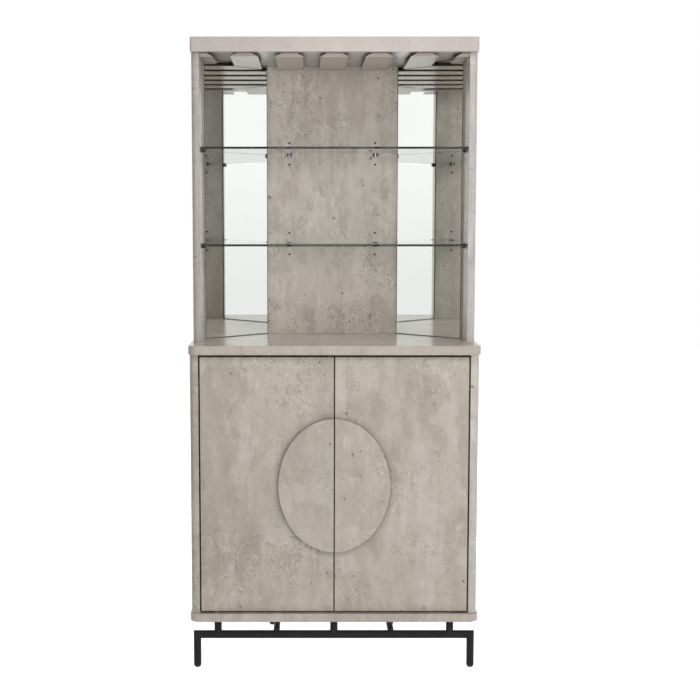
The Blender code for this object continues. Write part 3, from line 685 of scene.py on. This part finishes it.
def add_rim(side):
    """The thin dark rim that shows round a mirror, as one bevelled frame."""
    outer, inner, height, normal = mirror_face(f"hutch_{side}_mirror", HANDS[side])
    along = inner - outer
    width = along.length
    along.normalize()
    up = Vector((0, 0, 1))
    bm = bmesh.new()
    section = ((0.0, RIM_SEAT), (RIM_EASE, RIM_PROUD), (RIM_WIDTH - RIM_EASE, RIM_PROUD), (RIM_WIDTH, RIM_SEAT))
    loops = []
    for inset, lift in section:
        far, top = width - inset, height - inset
        loops.append([
            bm.verts.new(outer + along * a + up * b + normal * lift)
            for a, b in ((inset, inset), (far, inset), (far, top), (inset, top))
        ])
    loops.append(loops[0])
    for one, two in zip(loops, loops[1:]):
        join_rings(bm, one, two)
    bmesh.ops.recalc_face_normals(bm, faces=bm.faces)
    mesh = mesh_of(f"{side}_mirror_rim", bm)
    mesh.materials.append(MIRROR_RIM)
    add_piece(f"{side}_mirror_rim", mesh)


# The support holes

HOLE_RADIUS = 0.00275
HOLE_LIP = 0.0033
HOLE_LIP_PROUD = 0.00012
HOLE_LIP_SEAT = 0.00002
HOLE_CLEARANCE = 0.00003
HOLE_WALL = 0.0004
HOLE_DEPTH = 0.0072
HOLE_BOTTOM = 0.0078
HOLE_PITCH = 0.032
HOLE_SIDES = 16


def inner_face(side):
    """Where a side panel of the hutch faces its inside, in X."""
    low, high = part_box(f"hutch_{side}_side")
    return high.x if side == "left" else low.x


def add_hole(name, mouth, normal):
    """A thin cup in a support hole, with a narrow lip round its mouth, in near-black painted shade that makes the
    bore look dark.
    """
    outside = HOLE_RADIUS - HOLE_CLEARANCE
    inside = outside - HOLE_WALL
    profile = [(0, -HOLE_DEPTH), (inside, -HOLE_DEPTH), (inside, HOLE_LIP_PROUD), (HOLE_LIP, HOLE_LIP_PROUD),
               (HOLE_LIP, HOLE_LIP_SEAT), (outside, HOLE_LIP_SEAT), (outside, -HOLE_BOTTOM), (0, -HOLE_BOTTOM)]
    mesh = smoothed(mesh_of(name, lathe(profile, HOLE_SIDES)))
    mesh.materials.append(SHADED_RAW_BOARD)
    add_piece(name, mesh, frame_at(mouth, normal))


def add_holes():
    """The spare support holes above and below each clip."""
    back_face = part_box("hutch_centre_back")[0].y
    for row in ("lower", "upper"):
        shelf_level = middle(f"{row}_glass_shelf")[2]
        for side, hand in HANDS.items():
            back_x = middle(f"{row}_{side}_back_clip")[0]
            side_y = middle(f"{row}_{side}_side_clip")[1]
            for step, tag in ((-1, "below"), (1, "above")):
                level = shelf_level + step * HOLE_PITCH
                add_hole(f"{row}_{side}_back_hole_{tag}", (back_x, back_face, level), (0, -1, 0))
                add_hole(f"{row}_{side}_side_hole_{tag}", (inner_face(side), side_y, level), (-hand, 0, 0))


# The top slab

SLAB_CORNER = 0.006
SLAB_EASE = (0.002, 3)


def add_top_slab():
    """The top slab with its tight front corners, on the plan of its node."""
    low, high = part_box("top_slab")
    points = [v.co for v in NODES["top_slab"].data.vertices]
    side_end = max(p.y for p in points if p.x > high.x - ON_FACE)
    back_half = max(p.x for p in points if p.y > high.y - ON_FACE)
    right = [(high.x, low.y, SLAB_CORNER), (high.x, side_end, 0), (back_half, high.y, 0)]
    outline = rounded(right + [(-x, y, radius) for x, y, radius in reversed(right)])
    mesh = combined("top_slab_dressed", prism(outline, low.z, high.z), [], PANELS["top_slab"], SLAB_EASE)
    slab = add_piece("top_slab_dressed", mesh)
    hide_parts("top_slab")


# The screws

# A head's profile and its cross, as shares of its radius and its height.
SCREW_PROFILE = ((0, 0), (1, 0), (1, 0.25), (0.86, 0.72), (0.55, 1), (0, 1))
SCREW_SIDES = 28
CROSS_LENGTH = 1.15
CROSS_WIDTH = 0.24
CROSS_DEPTH = 1.3
CLIP_SCREW = (0.0024, 0.0004)
FITTING_SCREW = (0.0030, 0.0006)
PLATE_THICK = 0.0015
PLATE_SCREWS = (0.017, 0.029)
STRIKE_SCREW_RISE = 0.0045
EAR_THICK = 0.0025
EAR_SCREW_INSET = 0.0055
EAR_SCREW_DEPTH = 0.0085


def screw_mesh(radius, proud):
    """A low domed screw head with a cross recess."""
    head = lathe([(radius * across, proud * up) for across, up in SCREW_PROFILE], SCREW_SIDES)
    size = Matrix.Diagonal((radius * CROSS_LENGTH, radius * CROSS_WIDTH, proud * CROSS_DEPTH, 1.0))
    slots = []
    for turn in (0.0, math.pi / 2):
        cut = bmesh.new()
        bmesh.ops.create_cube(cut, size=1.0)
        cut.transform(Matrix.Translation((0, 0, proud)) @ Matrix.Rotation(turn, 4, "Z") @ size)
        slots.append(("DIFFERENCE", cut))
    return combined("screw_head", head, slots, SLOT_LOOKS["bright_steel"])


def add_screw(name, mesh, origin, normal, body="carcass"):
    add_piece(name, mesh, frame_at(origin, normal), body)


def add_fittings_screws():
    """The screws in the pivot plates, in the strikes and in the catch's ears."""
    head = screw_mesh(*FITTING_SCREW)
    for side, hand in HANDS.items():
        for row, up in (("lower", 1), ("upper", -1)):
            plate = f"{side}_{row}_pivot_plate"
            low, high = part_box(plate)
            face = low.z + PLATE_THICK if up > 0 else high.z - PLATE_THICK
            outer = max(hand * low.x, hand * high.x)
            for k, inset in enumerate(PLATE_SCREWS):
                place = (hand * (outer - inset), middle(plate)[1], face)
                add_screw(f"{side}_{row}_plate_screw_{k + 1}", head, place, (0, 0, up))
        strike = f"{side}_door_strike"
        low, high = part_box(strike)
        place = (middle(strike)[0], high.y, low.z + STRIKE_SCREW_RISE)
        add_screw(f"{side}_strike_screw", head, place, (0, 1, 0), f"{side}_door")
        low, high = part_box("magnetic_catch")
        place = (hand * (high.x - EAR_SCREW_INSET), low.y + EAR_SCREW_DEPTH, high.z - EAR_THICK)
        add_screw(f"{side}_catch_screw", head, place, (0, 0, -1))


# The shelf clips

CLIP_HALF_WIDTH = 0.0075
CLIP_BELOW = 0.0093
CLIP_ABOVE = 0.0045
CLIP_JAW = 0.0033
CLIP_REACH = 0.0113
CLIP_WEB = 0.0028
CLIP_SEAT = 0.0003
CLIP_LOW_ROUND = 0.0045
CLIP_TOP_ROUND = 0.0010
CLIP_EASE = (0.0003, 2)
CLIP_TRIM = (-0.001, 0.02)
CLIP_SCREW_SEAT = 0.0001
PIN_RADIUS = 0.0025
PIN_SPAN = (-0.008, 0.0015)
PIN_SIDES = 16
SIDE_TO_FRONT = Matrix(((0, 0, 1, 0), (1, 0, 0, 0), (0, 1, 0, 0), (0, 0, 0, 1)))


def clip_mesh():
    """A glass shelf's clip: a deep rounded lower jaw, a thin upper one and a pin. Its Z leads away from the wall."""
    side = [(-CLIP_BELOW, CLIP_SEAT), (-CLIP_BELOW, CLIP_REACH), (-CLIP_JAW, CLIP_REACH), (-CLIP_JAW, CLIP_WEB),
            (CLIP_JAW, CLIP_WEB), (CLIP_JAW, CLIP_REACH), (CLIP_ABOVE, CLIP_REACH), (CLIP_ABOVE, CLIP_SEAT)]
    body = prism(side, -CLIP_HALF_WIDTH, CLIP_HALF_WIDTH)
    body.transform(SIDE_TO_FRONT)
    front = rounded([
        (-CLIP_HALF_WIDTH, -CLIP_BELOW, CLIP_LOW_ROUND),
        (CLIP_HALF_WIDTH, -CLIP_BELOW, CLIP_LOW_ROUND),
        (CLIP_HALF_WIDTH, CLIP_ABOVE, CLIP_TOP_ROUND),
        (-CLIP_HALF_WIDTH, CLIP_ABOVE, CLIP_TOP_ROUND),
    ])
    back_end, front_end = PIN_SPAN
    pin = lathe([(0, back_end), (PIN_RADIUS, back_end), (PIN_RADIUS, front_end), (0, front_end)], PIN_SIDES)
    steps = [("INTERSECT", prism(front, *CLIP_TRIM)), ("UNION", pin)]
    return combined("shelf_clip", body, steps, DARK_STEEL, CLIP_EASE)


def add_clips(screw):
    """The eight clips, each with its screw in the middle of the lower jaw."""
    mesh = clip_mesh()
    back_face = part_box("hutch_centre_back")[0].y
    screw_place = Vector((0, -(CLIP_BELOW + CLIP_JAW) / 2, CLIP_REACH - CLIP_SCREW_SEAT))
    for name in [name for name in NODES if name.endswith("_clip")]:
        side, wall = name.split("_")[1:3]
        x, y, z = middle(name)
        if wall == "side":
            place = frame_at((inner_face(side), y, z), (-HANDS[side], 0, 0))
        else:
            place = frame_at((x, back_face, z), (0, -1, 0))
        clip = add_piece(f"{name}_dressed", mesh, place)
        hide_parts(name)
        add_screw(f"{name}_screw", screw, place @ screw_place, place.to_3x3() @ Vector((0, 0, 1)))


# World, floor, lamps and camera

# The backdrop: how much brighter it shows through glass, how high its horizon fades, its brightness in mirrors
# below and above that, how much paler it gets there to the right, its tint there, and its strength as light.
WHITE = (1.0, 1.0, 1.0, 1.0)
GLASS_GAIN = 1.25
HORIZON = 0.05
LOW_WALL = 0.97
HIGH_WALL = 1.10
WALL_LEAN = 0.025
WALL_TINT = (1.0, 0.966, 1.036, 1.0)
WORLD_LIGHT = 0.02

# The floor: its form and tones, its brightness in mirrors, and the distances from the cabinet between which its
# own glow rises to white.
FLOOR_RADIUS = 9.0
FLOOR_SIDES = 64
FLOOR_SINK = 0.0005
FLOOR_TONES = ((0.90, 0.90, 0.90, 1), (0.93, 0.93, 0.93, 1))
FLOOR_MIRRORED = 0.85
FLOOR_NEAR = 1.0
FLOOR_FAR = 3.5
FLOOR_NEAR_GLOW = 0.90

# Each area lamp: its place, the height on the cabinet's axis that it is aimed at, its size and its power.
LAMPS = {
    "front": ((0.0, -4.2, 1.3), 0.95, (3.2, 2.4), 52.0),
    "right": ((2.3, -3.0, 1.4), 0.9, (3.0, 4.0), 44.0),
    "key": ((3.4, -1.9, 2.5), 0.8, (0.6, 0.6), 24.0),
    "left": ((-2.3, -3.0, 1.4), 0.9, (3.0, 4.0), 3.0),
    "back_left": ((-2.6, 2.4, 1.9), 0.9, (2.6, 2.6), 60.0),
    "back_right": ((2.6, 2.4, 1.9), 0.9, (2.6, 2.6), 60.0),
    "top": ((0.4, -2.6, 3.9), 0.9, (2.6, 1.6), 56.0),
}

# Each small lamp before the open hutch: its place and its power.
BULBS = {
    "hutch_low": ((0.0, -0.34, 1.18), 0.95),
    "hutch_high": ((0.0, -0.40, 1.52), 1.4),
}
BULB_RADIUS = 0.15

CAMERA_PLACE = (-0.0681, -3.4366, 1.2346)
CAMERA_PITCH = math.radians(90 - 5.247)
CAMERA_SENSOR = 36.0
CAMERA_LENS = 61.77
CAMERA_SHIFT = (0.0579, -0.0229)
CAMERA_REACH = 60.0


def sight(t, gain):
    """How far a ray sees plainly, which is straight or through glass with a gain, and how far in a mirror."""
    path = t.node("ShaderNodeLightPath").outputs
    bounced = t.math("MINIMUM", path["Glossy Depth"], 1.0)
    through = t.math("MULTIPLY", path["Is Transmission Ray"], t.math("SUBTRACT", 1.0, bounced))
    plain = t.math("MAXIMUM", path["Is Camera Ray"], t.math("MULTIPLY", through, gain))
    sharp = t.math("MAXIMUM", path["Is Glossy Ray"], path["Is Transmission Ray"])
    return plain, t.math("MULTIPLY", bounced, sharp)


def backdrop_world():
    """White where it is seen plainly, greyer low down and to the left in mirrors, and very dim as light."""
    world = bpy.data.worlds.new("studio")
    bpy.context.scene.world = world
    t = Tree(world, "ShaderNodeOutputWorld")
    plain, mirrored = sight(t, GLASS_GAIN)
    way = t.fill(t.node("ShaderNodeSeparateXYZ"), Vector=t.node("ShaderNodeTexCoord").outputs["Generated"]).outputs
    wall = t.ramp(way["Z"], -HORIZON, HORIZON, LOW_WALL, HIGH_WALL, smooth=False)
    wall = t.math("MULTIPLY_ADD", way["X"], WALL_LEAN, wall)
    seen = t.math("MAXIMUM", plain, t.math("MULTIPLY", mirrored, wall))
    light = t.fill(t.node("ShaderNodeBackground"), Color=t.mix(mirrored, WHITE, WALL_TINT),
                   Strength=t.math("MAXIMUM", seen, WORLD_LIGHT))
    t.link(light.outputs[0], t.out.inputs["Surface"])


def add_floor():
    """A wide pale floor. It shows white where it is lit and keeps the cabinet's shadow."""
    bm = bmesh.new()
    bmesh.ops.create_circle(bm, cap_ends=True, segments=FLOOR_SIDES, radius=FLOOR_RADIUS)
    mesh = mesh_of("floor", bm)
    floor = link_object("floor", mesh)
    floor.location = (0, 0, -FLOOR_SINK)
    t = material("studio_floor")
    soft = t.noise(t.coords(), scale=0.8, detail=3.0, rough=0.5)
    diffuse = t.fill(t.node("ShaderNodeBsdfDiffuse"), Color=t.mix(t.ramp(soft, 0.3, 0.7), *FLOOR_TONES))
    away = t.node("ShaderNodeVectorMath", operation="LENGTH")
    t.link(t.coords(), away.inputs[0])
    level = t.ramp(away.outputs["Value"], FLOOR_NEAR, FLOOR_FAR, FLOOR_NEAR_GLOW, 1.0)
    plain, mirrored = sight(t, 1.0)
    seen = t.math("MAXIMUM", t.math("MULTIPLY", plain, level), t.math("MULTIPLY", mirrored, FLOOR_MIRRORED))
    glow = t.fill(t.node("ShaderNodeEmission"), Strength=seen)
    both = t.node("ShaderNodeAddShader")
    t.link(diffuse.outputs[0], both.inputs[0])
    t.link(glow.outputs[0], both.inputs[1])
    t.link(both.outputs[0], t.out.inputs["Surface"])
    mesh.materials.append(t.owner)


def add_lamp(name, light, place):
    """Links a lamp that neither the camera nor a mirror sees."""
    lamp = link_object(name, light)
    lamp.location = place
    lamp.visible_glossy = False
    lamp.visible_camera = False
    return lamp


def add_area(name, place, aim, size, power):
    light = bpy.data.lights.new(name, "AREA")
    light.shape = "RECTANGLE"
    light.size, light.size_y = size
    light.energy = power
    lamp = add_lamp(name, light, place)
    lamp.rotation_euler = (Vector((0, 0, aim)) - Vector(place)).to_track_quat("-Z", "Y").to_euler()


def add_bulb(name, place, power):
    """A small soft lamp in front of the open hutch, for the light that pale studio walls would throw into it."""
    light = bpy.data.lights.new(name, "POINT")
    light.energy = power
    light.shadow_soft_size = BULB_RADIUS
    add_lamp(name, light, place).visible_transmission = False


def add_camera():
    data = bpy.data.cameras.new("camera")
    data.sensor_width = CAMERA_SENSOR
    data.lens = CAMERA_LENS
    data.shift_x, data.shift_y = CAMERA_SHIFT
    data.clip_end = CAMERA_REACH
    camera = link_object("camera", data)
    camera.location = CAMERA_PLACE
    camera.rotation_euler = (CAMERA_PITCH, 0, 0)
    bpy.context.scene.camera = camera


dress_nodes()
thicken_links()
add_front_stand()
for side in HANDS:
    add_rim(side)
add_holes()
add_top_slab()
add_clips(screw_mesh(*CLIP_SCREW))
add_fittings_screws()

backdrop_world()
add_floor()
for name, values in LAMPS.items():
    add_area(name, *values)
for name, values in BULBS.items():
    add_bulb(name, *values)
add_camera()

scene = bpy.context.scene
scene.view_settings.view_transform = "Standard"
